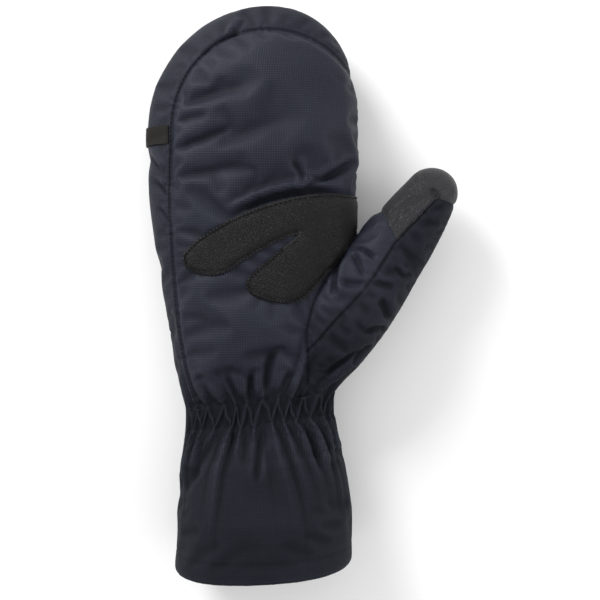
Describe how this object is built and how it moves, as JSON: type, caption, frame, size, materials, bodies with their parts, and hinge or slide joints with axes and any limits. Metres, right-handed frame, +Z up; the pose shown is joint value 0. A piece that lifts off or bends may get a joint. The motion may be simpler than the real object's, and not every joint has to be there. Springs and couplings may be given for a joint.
{
  "type": "insulated mitten",
  "caption": "Insulated mitten for the right hand, with a padded hand and thumb, a grip patch on the palm, a gathered wrist and an open gauntlet cuff.",
  "frame": {"origin": "point on the flattened back of the hand, on its centre line, halfway from the wrist seam to the fingertips", "axes": "+Z up out of the palm, +Y towards the fingertips, +X towards the thumb"},
  "size_m": [0.1706, 0.3116, 0.0662],
  "materials": {
    "navy_ripstop": "dark navy ripstop nylon with a soft sheen and a fine square grid",
    "grip_leather": "matt black leather with a fine grain",
    "woven_tab": "matt black-brown webbing"
  },
  "bodies": {
    "root": {"palm_panel": "navy_ripstop", "back_panel": "navy_ripstop", "side_gusset": "navy_ripstop", "thumb_inner_panel": "navy_ripstop", "thumb_outer_panel": "navy_ripstop", "wrist_casing": "navy_ripstop", "cuff": "navy_ripstop", "thumb_tip": "grip_leather", "palm_patch": "grip_leather", "side_tab": "woven_tab"}
  },
  "joints": []
}
